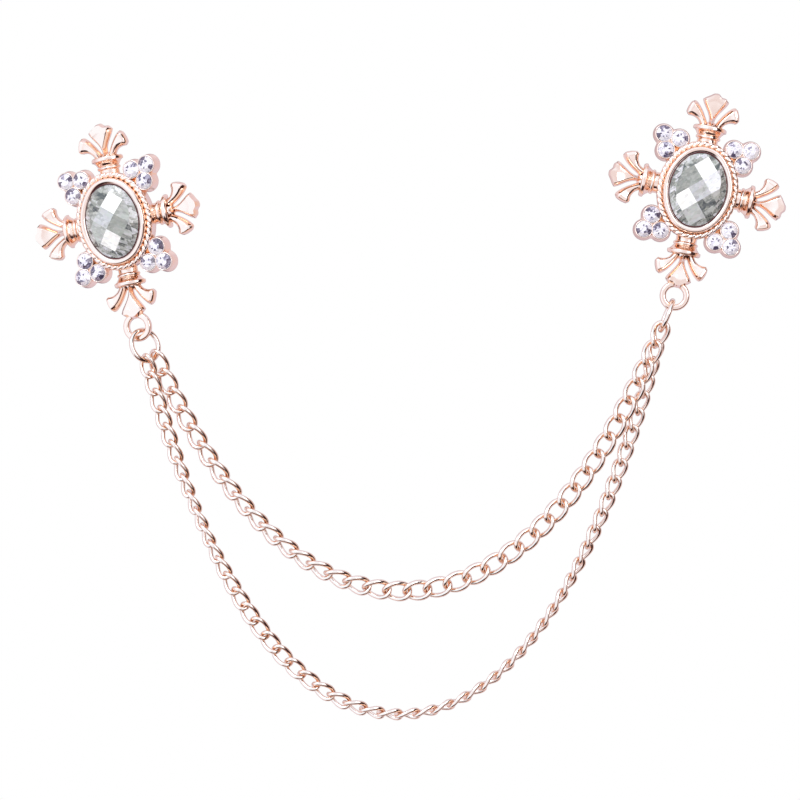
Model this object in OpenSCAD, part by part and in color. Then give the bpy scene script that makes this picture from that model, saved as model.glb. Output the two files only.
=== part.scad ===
// Lapel chain: two cast cross brooches joined by an upper and a lower curb chain.
// Millimetres. X runs from the left brooch to the right one, Z is up, and the front faces -Y.
// The origin is the middle of the left brooch's flat back, where it is pinned on.
// A brooch is drawn lying flat, front up: its own X to the right, Y to its top, Z to its front.

/* [Centre stone] */
// Width of the oval centre stone
stone_w = 12; // [11:0.1:13]
// Height of the oval centre stone
stone_h = 15.6; // [14.8:0.1:16.6]
// Radius of the arcs at the top and bottom of the stone's oval
stone_end_r = 4.85; // [4.5:0.05:5.2]
// Depth of the stone below its girdle
stone_pavilion = 1.5; // [1.2:0.1:2]
// Thickness of the stone's girdle
stone_girdle = 0.35; // [0.2:0.05:0.6]
// Height of the stone's crown above its girdle
stone_crown = 1.9; // [1.4:0.1:2.4]
// Run of the crown's first slope, inwards from the girdle
crown_run = 1.1; // [0.8:0.1:1.4]

/* [Setting] */
// Thickness of the floor under the centre stone
floor_t = 1.4; // [1:0.1:2]
// Clearance between a stone and its setting
seat_gap = 0.1; // [0.06:0.02:0.2]
// How far the rim laps over the edge of the centre stone
lip_cover = 0.28; // [0.2:0.02:0.4]
// Thickness of the lip over the edge of the centre stone
lip_t = 0.35; // [0.25:0.05:0.5]
// Rounding of the edges of the bezel
edge_round = 0.3; // [0.2:0.02:0.36]
// Width of the plain rim, outside the stone's edge
rim_w = 1; // [0.8:0.05:1.3]
// Width of the bed that carries the rope border
rope_bed_w = 1.05; // [0.9:0.05:1.4]
// Height of the rope bed above the flat back
rope_bed_h = 2.45; // [2:0.05:2.8]
// Number of strands shown round the rope border
rope_count = 42; // [30:1:46]
// Width of one strand of the rope border
rope_strand = 0.85; // [0.6:0.05:0.95]
// Angle at which the strands cross the border
rope_slant = 35; // [20:1:45]

/* [Small stones] */
// Diameter of a small stone
small_d = 3.1; // [2.7:0.05:3.3]
// Number of crown facets round a small stone
small_facets = 12; // [8:1:12]
// Depth of a small stone below the rim of its cup
small_sink = 1.1; // [0.9:0.05:1.4]
// How far a small stone stands above the rim of its cup
small_crown = 0.75; // [0.5:0.05:1]
// Thickness of a small stone's girdle
small_girdle = 0.2; // [0.12:0.02:0.3]
// Wall round a small stone's seat
cup_wall = 0.32; // [0.25:0.01:0.45]
// Height of the cups above the flat back
cup_h = 2.5; // [2.1:0.1:3]
// Thickness of the web between the cups
web_t = 1.5; // [1:0.1:1.9]
// Metal left between two neighbouring seats
cup_bridge = 0.12; // [0.1:0.01:0.3]
// Metal left between a seat and the border
cup_land = 0.08; // [0.05:0.01:0.2]
// Spread of the two inner cups along the border
cup_spread = 3.65; // [3.5:0.05:4.2]
// Shift of the cups from the corner of the oval towards its side
cup_shift = 0.8; // [0.2:0.1:1.4]

/* [Arms] */
// Length of an arm, from the rope border to its tip
arm_len = 10.05; // [9:0.05:11.5]
// Width of the neck of an arm
neck_w = 4.1; // [3.6:0.1:4.6]
// Width of the tied band, the widest ring of an arm
band_w = 6.9; // [6:0.1:7.6]
// Height of the middle of the band along the arm
band_at = 2.9; // [2.6:0.05:3.2]
// Thickness of the band along the arm
band_t = 0.5; // [0.35:0.05:0.8]
// Depth by which the round of an arm is sunk in its flat back
arm_sink = 0.5; // [0.2:0.05:0.8]
// Thickness of a ribbon petal
petal_t = 1.5; // [1.1:0.05:1.9]
// Angle at which the petals rise towards their tips
petal_rise = 7; // [4:0.5:9]
// Width of the middle petal near its tip
petal_w = 5.3; // [4.6:0.1:6]
// Length of the middle line of a side petal
side_petal_len = 4.1; // [3.6:0.1:4.6]
// Width of a side petal near its tip
side_petal_w = 2.85; // [2.4:0.05:3.2]
// Distance from the band to the roots of the petals
petal_from = 0.8; // [0.6:0.05:1]
// Height of the back of a petal's root above the flat back
petal_z = 0.1; // [0.05:0.05:0.3]
// Length of a petal past its corners
tip_extra = 1.5; // [1:0.1:1.8]
// Height of the rolled edge at a petal's tip
tip_roll = 0.35; // [0.2:0.05:0.6]

/* [Eye and jump rings] */
// Outer diameter of the cast eye under the bottom arm
eye_d = 6; // [5.6:0.1:6.6]
// Hole of the eye
eye_hole = 3.5; // [3.4:0.05:3.8]
// Thickness of the eye
eye_t = 1.2; // [1:0.05:1.3]
// How far the eye reaches up behind the petal
eye_lap = 1.3; // [1.1:0.1:1.7]
// Rounding of the front edges of the eye
eye_edge = 0.4; // [0.2:0.05:0.5]
// Drop of the left jump ring in its eye
left_drop = 0.85; // [0.75:0.01:0.9]
// Drop of the right jump ring in its eye
right_drop = 1.08; // [1:0.01:1.15]
// Outer diameter of a jump ring
ring_d = 7.4; // [7.2:0.1:8]
// Wire of a jump ring
ring_wire = 1; // [0.9:0.02:1.06]

/* [Chains] */
// Number of links in the upper chain
upper_links = 37; // [34:1:40]
// Pitch of the upper chain, from link to link
upper_pitch = 4.12; // [4:0.01:4.22]
// Outer width of an upper link
upper_width = 4.1; // [4:0.05:4.4]
// Wire of the upper chain
upper_wire = 0.82; // [0.7:0.02:0.84]
// Number of links in the lower chain
lower_links = 54; // [50:1:58]
// Pitch of the lower chain, from link to link
lower_pitch = 3.6; // [3.5:0.01:3.7]
// Outer width of a lower link
lower_width = 3.5; // [3.45:0.05:3.8]
// Wire of the lower chain
lower_wire = 0.76; // [0.64:0.02:0.78]
// Play between two links along the chain
link_play = 0.25; // [0.2:0.01:0.3]
// Drop of a chain's first link below the wire of its ring
hook_play = 0.25; // [0.2:0.01:0.4]
// Twist of a curb link from end to end, in degrees
link_twist = 86; // [80:1:100]

/* [Pins] */
// Length of the bar of a pin
pin_len = 22; // [16:0.5:26]
// Width of the bar of a pin
pin_w = 3.2; // [2.6:0.1:4]
// Thickness of the bar of a pin
pin_t = 0.8; // [0.6:0.05:1.2]
// Wire of a pin
pin_wire = 0.9; // [0.7:0.05:1]
// Room between the bar and the wire, for cloth
pin_room = 2; // [1.6:0.1:2.6]
// Length of the block at the fixed end of a pin
pin_block = 2.4; // [2:0.1:3]
// Length of the point of a pin
pin_tip = 1.8; // [1.2:0.1:2.4]
// Width of the catch of a pin
catch_w = 1.6; // [1.2:0.1:2]
// Thickness of the catch of a pin
catch_t = 0.7; // [0.5:0.05:0.9]
// Depth by which the parts of a pin run into each other
pin_bite = 0.2; // [0.1:0.05:0.3]

/* [Hanging] */
// Distance from the left brooch to the right one
span_x = 116.4; // [110:0.1:122]
// Height of the right brooch above the left one
span_z = 6.1; // [0:0.1:10]
// Lean of the left brooch, its top towards the left
left_lean = 10.5; // [6:0.5:14]
// Lean of the right brooch, its top towards the right
right_lean = 12; // [7:0.5:15]
// Turn of the left brooch about its own upright, its front towards the left
left_turn = 18; // [12:0.5:22]
// Turn of the right brooch about its own upright, its front towards the left
right_turn = 2; // [0:0.5:4]

/* [Hidden] */
$fn = 48;
half_w = stone_w / 2;
half_h = stone_h / 2;
// The oval is four arcs: its ends turn about (0, +-arc_y), its sides about (-+side_x, 0)
arc_y = half_h - stone_end_r;
side_r = (half_w * half_w + arc_y * arc_y - stone_end_r * stone_end_r) / (2 * (half_w - stone_end_r));
side_x = side_r - half_w;
split = atan2(arc_y, side_x);
wall_out = rim_w + rope_bed_w;
girdle_z = floor_t + seat_gap + stone_pavilion;
crown_z = girdle_z + stone_girdle;
// Rise of the crown's first slope, which the lip follows
crown_rise = 0.48 * stone_crown;
lip_z = crown_z + seat_gap + lip_cover * crown_rise / crown_run;
rim_h = lip_z + lip_t;
bore_r = small_d / 2 + seat_gap / 2;
cup_r = bore_r + cup_wall;
cup_pitch = 2 * bore_r + cup_bridge;
cup_t = wall_out + bore_r + cup_land;
small_z = cup_h - small_sink;
petal_root = band_at + petal_from;
eye_y = half_h + wall_out + arm_len + eye_d / 2 - eye_lap;
oval_sides = 60;
ring_r = (ring_d - ring_wire) / 2;
link_sides = 12;
wire_sides = 5;
link_square = 2.4;

// Width of the middle petal along it, as shares of its length and of petal_w
middle_form = [[0, 0.17], [0.14, 0.13], [0.32, 0.22], [0.5, 0.4], [0.65, 0.6], [0.86, 0.86], [1, 1]];
// Length past the corners across the middle petal, as shares of its half width and of tip_extra
middle_tip = [[-1, 0], [-0.85, 0.3], [-0.45, 0.58], [0, 1], [0.22, 0.9], [0.5, 0.5], [0.85, 0.3], [1, 0]];
// The same two tables for a side petal
side_form = [[0, 0.42], [0.3, 0.55], [0.55, 0.72], [0.8, 0.95], [1, 1]];
side_tip = [[-1, 0], [-0.6, 0.3], [0, 0.45], [0.6, 0.3], [1, 0]];
// Radius of an arm's round along it, as shares of band_at and of neck_w / 2: neck, one ring, and the flare
neck_form = [[-0.24, 0.96], [0.38, 0.96], [0.42, 1.06], [0.6, 1.08], [0.65, 1.03], [0.73, 1.12]];

// Roll of the links along a chain: share of its length, turn from lying flat to the front
upper_roll = [[0, 12], [0.08, 25], [0.2, 48], [0.38, 45], [0.48, 12], [0.55, 0], [0.92, 0], [1, 32]];
lower_roll = [[0, 14], [0.08, 30], [0.15, 60], [0.2, 60], [0.3, 4], [0.35, -4], [0.46, 66], [0.52, 76], [0.7, 74],
    [0.83, 34], [1, 30]];

// Brooch: place of its back, lean, turn, then lean and turn of its jump ring, its drop in the eye,
// and where the upper and lower chain hang on it, as angles from its lowest point
LEFT = [[0, 0, 0], -left_lean, -left_turn, -22, 41, left_drop, 26, -18];
RIGHT = [[span_x, 0, span_z], right_lean, -right_turn, 22, 90, right_drop, -24, 24];
SIDES = [["left", LEFT], ["right", RIGHT]];
SMALL_COUNT = 12;

// Points on the oval, offset outwards by t: [x, y, direction of the normal]
function on_arc(c, r, a) = [c[0] + r * cos(a), c[1] + r * sin(a), a];
function side_len(t) = 2 * split * PI / 180 * (side_r + t);
function end_len(t) = (180 - 2 * split) * PI / 180 * (stone_end_r + t);
function oval_len(t) = 2 * (side_len(t) + end_len(t));
function oval_at(t, d) =
    let (s = side_len(t), e = end_len(t), side = 2 * split, end = 180 - side)
    d < s ? on_arc([-side_x, 0], side_r + t, -split + side * d / s)
    : d < s + e ? on_arc([0, arc_y], stone_end_r + t, split + end * (d - s) / e)
    : d < 2 * s + e ? on_arc([side_x, 0], side_r + t, 180 - split + side * (d - s - e) / s)
    : on_arc([0, -arc_y], stone_end_r + t, 180 + split + end * (d - 2 * s - e) / e);
function oval_points(t, n) = [for (i = [0:n - 1]) let (p = oval_at(t, i * oval_len(t) / n)) [p[0], p[1]]];

// Middles of the three small stones of one corner: two against the border, one outside them
function corner_cups() =
    let (
        d = side_len(cup_t) - cup_shift,
        a = oval_at(cup_t, d - cup_spread / 2),
        b = oval_at(cup_t, d + cup_spread / 2),
        m = (a + b) / 2,
        ab = [b[0] - a[0], b[1] - a[1]],
        out = [ab[1], -ab[0]] / norm(ab),
        rise = sqrt(cup_pitch * cup_pitch - ab * ab / 4)
    )
    [[a[0], a[1]], [b[0], b[1]], [m[0] + out[0] * rise, m[1] + out[1] * rise]];
CORNERS = [for (m = [[1, 1], [-1, 1], [-1, -1], [1, -1]]) [for (c = corner_cups()) [c[0] * m[0], c[1] * m[1]]]];
SMALL_AT = [for (at = CORNERS) for (c = at) c];

// A point of a brooch in the part's own frame, as at_brooch() puts it there
function turn_y(p, a) = [p[0] * cos(a) + p[2] * sin(a), p[1], -p[0] * sin(a) + p[2] * cos(a)];
function turn_z(p, a) = [p[0] * cos(a) - p[1] * sin(a), p[0] * sin(a) + p[1] * cos(a), p[2]];
function brooch_point(s, p) = s[0] + turn_y(turn_z([p[0], -p[2], p[1]], s[2]), s[1]);

// A jump ring hangs along pull() and its wire runs along across() at its lowest point
function pull(s) = turn_y([0, 0, -1], s[3]);
function across(s) = turn_y([cos(s[4]), sin(s[4]), 0], s[3]);
function ring_middle(s) = brooch_point(s, [0, -eye_y, eye_t / 2]) + pull(s) * (s[5] + ring_r);
// Where the first link of a chain hangs: its end goes round the wire, at angle a from the lowest point
function chain_end(s, a) =
    ring_middle(s) + (pull(s) * cos(a) + across(s) * sin(a)) * ring_r
    - pull(s) * (ring_wire / 2 + hook_play);

// A free chain of length len between p and q hangs in a catenary.
// Its parameter x solves sinh(x) / x = k, by Newton's rule.
function sinh(x) = (exp(x) - exp(-x)) / 2;
function cosh(x) = (exp(x) + exp(-x)) / 2;
function asinh(x) = ln(x + sqrt(x * x + 1));
function atanh(x) = ln((1 + x) / (1 - x)) / 2;
function solve(k, x, i) =
    i == 0 ? x : solve(k, x - (sinh(x) / x - k) * x * x / (x * cosh(x) - sinh(x)), i - 1);
function catenary(p, q, len, n) =
    let (
        h = norm([q[0] - p[0], q[1] - p[1]]),
        v = q[2] - p[2],
        k = sqrt(len * len - v * v) / h,
        a = h / (2 * solve(k, sqrt(6 * (k - 1)), 12)),
        low = h / 2 - a * atanh(v / len),
        s0 = a * sinh(-low / a)
    )
    [for (i = [0:n])
        let (t = low + a * asinh((len * i / n + s0) / a), z = a * (cosh((t - low) / a) - cosh(low / a)))
        [p[0] + (q[0] - p[0]) * t / h, p[1] + (q[1] - p[1]) * t / h, p[2] + z]];

// One curb link: a squared oval whose plane twists about the line of the chain
function unit(v) = v / norm(v);
function power(x) = sign(x) * pow(abs(x), 2 / link_square);
function link_line(a, b, roll) =
    [for (i = [0:link_sides - 1])
        let (t = 360 * i / link_sides, s = a * power(cos(t)), turn = roll - link_twist / 2 * s / a)
        [s, b * power(sin(t)) * cos(turn), b * power(sin(t)) * sin(turn), turn]];
function link_points(p, q, a, b, wire, roll) =
    let (
        mid = (p + q) / 2,
        along = unit(q - p),
        up = unit(cross([0, -1, 0], along)),
        front = cross(along, up),
        line = link_line(a, b, roll),
        at = [for (l = line) mid + along * l[0] + up * l[1] + front * l[2]]
    )
    [for (i = [0:link_sides - 1])
        let (
            t = unit(at[(i + 1) % link_sides] - at[(i + link_sides - 1) % link_sides]),
            n = front * cos(line[i][3]) - up * sin(line[i][3]),
            e = unit(n - t * (n * t)),
            f = cross(t, e)
        )
        for (j = [0:wire_sides - 1])
            at[i] + (e * cos(360 * j / wire_sides) + f * sin(360 * j / wire_sides)) * wire / 2];
function tube_faces(first) =
    [for (i = [0:link_sides - 1]) for (j = [0:wire_sides - 1])
        let (
            k = (i + 1) % link_sides * wire_sides,
            l = (j + 1) % wire_sides,
            a = first + i * wire_sides
        )
        for (f = [[a + j, first + k + j, first + k + l], [a + j, first + k + l, a + l]]) f];

// A ribbon petal: its middle line turns from direction a0 to a1, measured from Y towards X
function line_at(root, a0, a1, len, s) =
    let (a = a0 + (a1 - a0) * s, r = len * 180 / PI / (a1 - a0))
    [root[0] + r * (cos(a0) - cos(a)), root[1] + r * (sin(a) - sin(a0)), a];
function petal_side(root, a0, a1, len, w, form, from, side) =
    [for (i = [0:6])
        let (s = from + (1 - from) * i / 6, p = line_at(root, a0, a1, len, s), h = side * w / 2 * lookup(s, form))
        [p[0] + h * cos(p[2]), p[1] - h * sin(p[2])]];
function petal_tip(root, a0, a1, len, w, tip, extra) =
    let (p = line_at(root, a0, a1, len, 1))
    [for (i = [len(tip) - 2:-1:1])
        let (h = tip[i][0] * w / 2, e = tip[i][1] * extra)
        [p[0] + h * cos(p[2]) + e * sin(p[2]), p[1] - h * sin(p[2]) + e * cos(p[2])]];
function petal_outline(root, a0, a1, len, w, form, tip, extra, from) =
    let (left = petal_side(root, a0, a1, len, w, form, from, -1))
    concat(
        petal_side(root, a0, a1, len, w, form, from, 1),
        petal_tip(root, a0, a1, len, w, tip, extra),
        [for (i = [len(left) - 1:-1:0]) left[i]]
    );

module at_brooch(s) {
    translate(s[0]) rotate([0, s[1], 0]) rotate([0, 0, s[2]]) rotate([90, 0, 0]) children();
}

// Prism on the oval, offset outwards by t
module oval_prism(t, from, to) {
    translate([0, 0, from]) linear_extrude(to - from) polygon(oval_points(t, oval_sides));
}

// Bed of the rope border and plain rim, in steps, and the seat cut into them: each [offset, height]
module bezel() {
    r = edge_round;
    steps = [
        [wall_out, rope_bed_h - r], [wall_out - r / 2, rope_bed_h], [rim_w, rim_h - 1.5 * r],
        [rim_w - r / 3, rim_h - 0.6 * r], [rim_w - r, rim_h]
    ];
    difference() {
        union() for (p = steps) oval_prism(p[0], 0, p[1]);
        oval_prism(seat_gap, floor_t, lip_z);
        oval_prism(-lip_cover, floor_t + r, 2 * rim_h);
        oval_prism(0.4 * r - lip_cover / 2, lip_z + r / 2, 2 * rim_h);
    }
}

module rope_border() {
    mid = rim_w + rope_bed_w / 2;
    for (i = [0:rope_count - 1]) {
        p = oval_at(mid, (i + 0.5) * oval_len(mid) / rope_count);
        translate([p[0], p[1], rope_bed_h]) rotate([0, 0, p[2] + rope_slant]) rotate([0, 90, 0])
            cylinder(d = rope_strand, h = 0.72 * rope_bed_w, center = true, $fn = 6);
    }
}

// Three cups and the web that joins them to the border, at one corner
module cups(at) {
    for (c = at) translate(c) cylinder(r = cup_r, h = cup_h);
    linear_extrude(web_t) polygon([at[0], at[2], at[1], at[1] * 0.72, at[0] * 0.72]);
}

// Neck and tied band: a round vase, lying along the arm and half sunk in the back
module vase() {
    intersection() {
        translate([0, 0, -arm_sink]) rotate([-90, 0, 0]) rotate_extrude() polygon(concat(
            [[0, neck_form[0][0] * band_at]],
            [for (p = neck_form) [p[1] * neck_w / 2, p[0] * band_at]],
            [
                [0.88 * band_w / 2, band_at - band_t], [band_w / 2, band_at - band_t / 2],
                [band_w / 2, band_at + band_t / 2], [0.88 * band_w / 2, band_at + band_t],
                [neck_w / 2, band_at + band_t], [0.36 * neck_w, petal_root + band_t], [0, petal_root + band_t]
            ]
        ));
        translate([-band_w, -arm_len, 0]) cube([2 * band_w, 2 * arm_len, band_w]);
    }
}

module petal(root, a0, a1, len, w, form, tip, extra) {
    for (layer = [[0, petal_t], [0.82, petal_t + tip_roll]]) linear_extrude(layer[1])
        polygon(petal_outline(root, a0, a1, len, w, form, tip, extra, layer[0]));
}

module arm() {
    vase();
    translate([0, petal_root, petal_z]) rotate([petal_rise, 0, 0]) {
        petal([0, 0], -0.1, 0.1, arm_len - petal_root - tip_extra, petal_w, middle_form, middle_tip, tip_extra);
        for (m = [0, 1]) mirror([m, 0, 0])
            petal([0.36 * neck_w, -petal_z], 26, 68, side_petal_len, side_petal_w, side_form, side_tip, tip_extra);
    }
}

module eye() {
    i = eye_hole / 2;
    o = eye_d / 2;
    e = eye_edge;
    translate([0, -eye_y, 0]) rotate_extrude() polygon([
        [i, e / 2], [i + e / 2, 0], [o - e / 2, 0], [o, e / 2], [o, eye_t - e], [o - e, eye_t],
        [i + e, eye_t], [i, eye_t - e]
    ]);
}

module setting(s) {
    color("#dba083") at_brooch(s) difference() {
        union() {
            bezel();
            rope_border();
            for (at = CORNERS) cups(at);
            for (k = [0, 1]) rotate([0, 0, 180 * k]) translate([0, half_h + wall_out, 0]) arm();
            for (k = [0, 1]) rotate([0, 0, 90 + 180 * k]) translate([0, half_w + wall_out, 0]) arm();
            eye();
        }
        for (c = SMALL_AT) translate([c[0], c[1], small_z]) cylinder(r = bore_r, h = cup_h);
    }
}

// Rings of points joined by triangles, each ring turned half a step from the one below
function ring_points(w, h, n, z, turn) =
    [for (i = [0:n - 1]) let (a = 360 * (i + turn) / n) [w / 2 * cos(a), h / 2 * sin(a), z]];
function band_faces(n, k, lean) =
    [for (i = [0:n - 1])
        let (a = k * n + i, b = k * n + (i + 1) % n, c = a + n, d = b + n)
        for (f = lean ? [[a, c, b], [b, c, d]] : [[a, c, d], [a, d, b]]) f];
module cut_stone(rings, n) {
    count = len(rings);
    polyhedron(
        [for (r = rings) for (p = r) p],
        concat(
            [[for (i = [0:n - 1]) i]],
            [for (k = [0:count - 2]) for (f = band_faces(n, k, k % 2 == 0)) f],
            [[for (i = [n - 1:-1:0]) (count - 1) * n + i]]
        )
    );
}

// Oval stone: girdle on the four-arc oval, then crown rings turned half a step each
module centre_stone(s) {
    n = 16;
    low = floor_t + seat_gap;
    edge = oval_points(0, n);
    color("#c3cac8") at_brooch(s) cut_stone([
        [for (p = edge) [p[0] * 0.8, p[1] * 0.8, low]],
        [for (p = edge) [p[0], p[1], girdle_z]],
        [for (p = edge) [p[0], p[1], crown_z]],
        ring_points(stone_w - 2 * crown_run, stone_h - 2 * crown_run, n, crown_z + crown_rise, 0),
        ring_points(stone_w * 0.55, stone_h * 0.55, n, crown_z + 0.84 * stone_crown, 0.5),
        ring_points(stone_w * 0.26, stone_h * 0.26, n, crown_z + stone_crown, 1)
    ], n);
}

module rhinestone(s, i) {
    c = SMALL_AT[i - 1];
    color("#e2e2ee") at_brooch(s) translate([c[0], c[1], 0]) cut_stone([
        ring_points(small_d * 0.5, small_d * 0.5, small_facets, small_z + seat_gap, 0),
        ring_points(small_d, small_d, small_facets, cup_h - 0.75 * small_girdle, 0),
        ring_points(small_d, small_d, small_facets, cup_h + 0.25 * small_girdle, 0),
        ring_points(small_d * 0.55, small_d * 0.55, small_facets, cup_h + small_crown, 0.5)
    ], small_facets);
}

module jump_ring(s) {
    color("#d79a78") translate(ring_middle(s)) rotate([0, s[3], 0]) rotate([0, 0, s[4]]) rotate([90, 0, 0])
        rotate_extrude() translate([ring_r, 0]) circle(d = ring_wire);
}

// Plain bar pin behind the brooch: bar, hinge block, wire and hooked catch in one piece
module pin(s) {
    bar_z = -seat_gap - pin_t;
    wire_z = bar_z - pin_room - pin_wire / 2;
    catch_r = pin_wire / 2 + pin_bite;
    color("#cfc8c4") at_brooch(s) {
        translate([-pin_len / 2, -pin_w / 2, bar_z]) cube([pin_len, pin_w, pin_t]);
        translate([-pin_len / 2, -pin_w / 4, wire_z - pin_wire])
            cube([pin_block, pin_w / 2, bar_z - wire_z + pin_wire + pin_bite]);
        translate([pin_block - pin_bite - pin_len / 2, 0, wire_z]) rotate([0, 90, 0])
            cylinder(d = pin_wire, h = pin_len - pin_block + pin_bite - pin_tip);
        translate([pin_len / 2 - pin_tip, 0, wire_z]) rotate([0, 90, 0])
            cylinder(d1 = pin_wire, d2 = pin_wire / 3, h = pin_tip);
        translate([pin_len / 2 - pin_tip - catch_w / 2, 0, wire_z]) {
            rotate([0, 90, 0]) rotate_extrude(angle = 180, start = -90)
                translate([catch_r, 0]) square([catch_t, catch_w]);
            translate([0, catch_r, 0]) cube([catch_w, catch_t, bar_z - wire_z + pin_bite]);
        }
    }
}

// A whole chain: interlocking loose links, hung between the two jump rings
module chain(ends, count, pitch, width, wire, rolls) {
    hooks = catenary(ends[0], ends[1], count * pitch, count);
    a = (pitch + wire + link_play) / 2;
    b = (width - wire) / 2;
    polyhedron(
        [for (i = [0:count - 1])
            for (p = link_points(hooks[i], hooks[i + 1], a, b, wire, lookup((i + 0.5) / count, rolls))) p],
        [for (i = [0:count - 1]) for (f = tube_faces(i * link_sides * wire_sides)) f]
    );
}

// The lower chain hangs on the front of the left ring and the back of the right one
module upper_chain() {
    color("#e6b79b") chain([chain_end(LEFT, LEFT[6]), chain_end(RIGHT, RIGHT[6])],
        upper_links, upper_pitch, upper_width, upper_wire, upper_roll);
}
module lower_chain() {
    color("#e3b294") chain([chain_end(LEFT, LEFT[7]), chain_end(RIGHT, RIGHT[7])],
        lower_links, lower_pitch, lower_width, lower_wire, lower_roll);
}

for (s = SIDES) {
    setting(s[1]);
    pin(s[1]);
    centre_stone(s[1]);
    jump_ring(s[1]);
    for (i = [1:SMALL_COUNT])
        rhinestone(s[1], i);
}
upper_chain();
lower_chain();
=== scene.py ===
# Lapel chain: two cast cross brooches with cut stones, joined by an upper and a lower curb chain.
# Shapes are worked out in millimetres, and meshes are in metres. A brooch lies flat at first, as (u right,
# v up, w to its front), and hung() puts it in the part's frame: X to the right, Z up, front towards -Y.
import bpy
import bmesh
import itertools
import numpy as np
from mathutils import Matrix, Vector


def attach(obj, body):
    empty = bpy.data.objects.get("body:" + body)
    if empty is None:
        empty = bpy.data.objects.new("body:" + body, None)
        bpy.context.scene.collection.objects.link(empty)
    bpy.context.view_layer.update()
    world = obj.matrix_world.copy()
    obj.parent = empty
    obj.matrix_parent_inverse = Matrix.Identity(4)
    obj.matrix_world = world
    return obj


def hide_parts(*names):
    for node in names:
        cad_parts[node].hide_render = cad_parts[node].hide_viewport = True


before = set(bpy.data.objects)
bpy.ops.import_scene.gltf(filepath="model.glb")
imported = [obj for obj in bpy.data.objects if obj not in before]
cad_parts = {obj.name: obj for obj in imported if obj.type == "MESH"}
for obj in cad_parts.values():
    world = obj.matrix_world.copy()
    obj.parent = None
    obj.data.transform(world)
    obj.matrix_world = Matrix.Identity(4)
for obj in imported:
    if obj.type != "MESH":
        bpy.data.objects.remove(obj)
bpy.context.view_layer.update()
print("frame loaded:", len(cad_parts), "nodes")

scene = bpy.context.scene
mm = 0.001

# place: middle of the flat back. turn and lean: degrees about Z, then Y. ring: lean, turn and drop of
# the jump ring in its eye. hangs: degrees from the ring's lowest point to the upper and the lower chain.
# cut: turn and offset of the oval crystal's facets, and the painted reflection tones of those in its
# middle, 1 for a white painted reflection
leftSide = {"name": "left", "place": (0, 0, 0), "lean": -10.5, "turn": -18, "ring": (-22, 41, 0.85),
            "hangs": (26, -18), "cut": {"turn": -39, "offset": (-0.42, 0.03), "seed": 3, "tones": {
                (0, 1): 1.0, (0, 0): 0.62, (1, 0): 0.42, (1, -1): 0.97, (0, -1): 0.55, (-1, 0): 0.15,
                (-1, 1): 0.3, (1, 1): 0.5, (-1, -1): 0.4, (0, -2): 0.2, (2, 0): 0.3}}}
rightSide = {"name": "right", "place": (116.4, 0, 6.1), "lean": 12, "turn": -2, "ring": (22, 90, 1.08),
             "hangs": (-24, 24), "cut": {"turn": 42, "offset": (0.03, -0.12), "seed": 5, "tones": {
                 (0, 1): 0.4, (1, 1): 1.0, (1, 0): 0.85, (0, 0): 0.64, (-1, 0): 1.0, (0, -1): 0.16,
                 (1, -1): 0.5, (-1, 1): 0.35, (-1, -1): 0.6, (2, 1): 0.25, (0, 2): 0.3}}}
sides = (leftSide, rightSide)

stone = {"width": 12.0, "height": 15.6, "endRadius": 4.85, "pavilion": 1.5, "girdle": 0.35, "crown": 1.9}
setting = {"floor": 1.4, "gap": 0.1, "lip": 0.28, "lipRise": 0.12, "lipThick": 0.35, "rim": 1.0, "bed": 1.05,
           "bedHeight": 2.45}
wallOut = setting["rim"] + setting["bed"]
halfW, halfH = stone["width"] / 2, stone["height"] / 2
crownBase = setting["floor"] + setting["gap"] + stone["pavilion"] + stone["girdle"]


# Turning and placing
def turnY(p, degrees):
    # about Y, from Z towards X
    a = np.radians(degrees)
    return np.stack([p[..., 0] * np.cos(a) + p[..., 2] * np.sin(a), p[..., 1],
                     p[..., 2] * np.cos(a) - p[..., 0] * np.sin(a)], -1)


def turnZ(p, degrees):
    # about Z, from X towards Y
    a = np.radians(degrees)
    return np.stack([p[..., 0] * np.cos(a) - p[..., 1] * np.sin(a),
                     p[..., 0] * np.sin(a) + p[..., 1] * np.cos(a), p[..., 2]], -1)


def turned2(p, degrees):
    # flat points (x, y), from X towards Y
    a = np.radians(degrees)
    return np.stack([p[:, 0] * np.cos(a) - p[:, 1] * np.sin(a), p[:, 0] * np.sin(a) + p[:, 1] * np.cos(a)], 1)


def hung(p, side):
    # flat (u, v, w) stands up as (u, -w, v), turns, leans and moves to its place, still in millimetres
    stood = np.stack([p[..., 0], -p[..., 2], p[..., 1]], -1)
    return np.array(side["place"], float) + turnY(turnZ(stood, side["turn"]), side["lean"])


# Surfaces
def gridFaces(rows, cols, wrapRows):
    # quads between neighbours of a grid of points, row by row. Each row closes on itself
    r, c = np.meshgrid(np.arange(rows if wrapRows else rows - 1), np.arange(cols), indexing="ij")
    r2, c2 = (r + 1) % rows, (c + 1) % cols
    return np.stack([r * cols + c, r2 * cols + c, r2 * cols + c2, r * cols + c2], -1).reshape(-1, 4)


joining = {"mergeWithin": 2e-7, "creaseFrom": 58}  # metres, and degrees


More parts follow.
